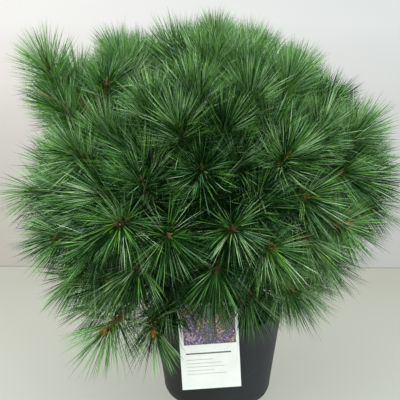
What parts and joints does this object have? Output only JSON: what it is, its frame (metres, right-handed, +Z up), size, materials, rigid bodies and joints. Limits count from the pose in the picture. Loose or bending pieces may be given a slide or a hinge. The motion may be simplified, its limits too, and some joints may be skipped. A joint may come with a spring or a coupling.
{
  "type": "potted dwarf eastern white pine",
  "caption": "Globe-shaped dwarf white pine with long soft needles, growing in a tapered black nursery pot with a bare plant card at the rim; it stands on the pot's flat underside.",
  "frame": {"origin": "centre of the pot's flat underside, on the surface that the plant stands on", "axes": "+Z up; -Y towards the side that shows the plant card; +X to the right seen from there"},
  "size_m": [0.6356, 0.5908, 0.5977],
  "materials": {
    "pot_plastic": "matte",
    "potting_soil": "matte",
    "label_plastic": "satin",
    "bark": "matte",
    "needles": "satin"
  },
  "bodies": {
    "root": {"pot": "pot_plastic", "soil": "potting_soil", "label_card": "label_plastic", "label_clip": "label_plastic", "trunk": "bark", "bough_low_1": "bark", "bough_low_2": "bark", "bough_low_3": "bark", "bough_low_4": "bark", "bough_low_5": "bark", "bough_low_6": "bark", "bough_low_7": "bark", "bough_mid_1": "bark", "bough_mid_2": "bark", "bough_mid_3": "bark", "bough_mid_4": "bark", "bough_mid_5": "bark", "bough_mid_6": "bark", "bough_mid_7": "bark", "bough_upper_1": "bark", "bough_upper_2": "bark", "bough_upper_3": "bark", "bough_upper_4": "bark", "bough_upper_5": "bark", "bough_upper_6": "bark", "bough_upper_7": "bark", "bough_upper_8": "bark", "bough_top_1": "bark", "bough_top_2": "bark", "bough_top_3": "bark", "bough_top_4": "bark", "needles_low_1": "needles", "needles_low_2": "needles", "needles_low_3": "needles", "needles_low_4": "needles", "needles_low_5": "needles", "needles_low_6": "needles", "needles_low_7": "needles", "needles_mid_1": "needles", "needles_mid_2": "needles", "needles_mid_3": "needles", "needles_mid_4": "needles", "needles_mid_5": "needles", "needles_mid_6": "needles", "needles_mid_7": "needles", "needles_upper_1": "needles", "needles_upper_2": "needles", "needles_upper_3": "needles", "needles_upper_4": "needles", "needles_upper_5": "needles", "needles_upper_6": "needles", "needles_upper_7": "needles", "needles_upper_8": "needles", "needles_top_1": "needles", "needles_top_2": "needles", "needles_top_3": "needles", "needles_top_4": "needles", "needles_leader": "needles"}
  },
  "joints": []
}
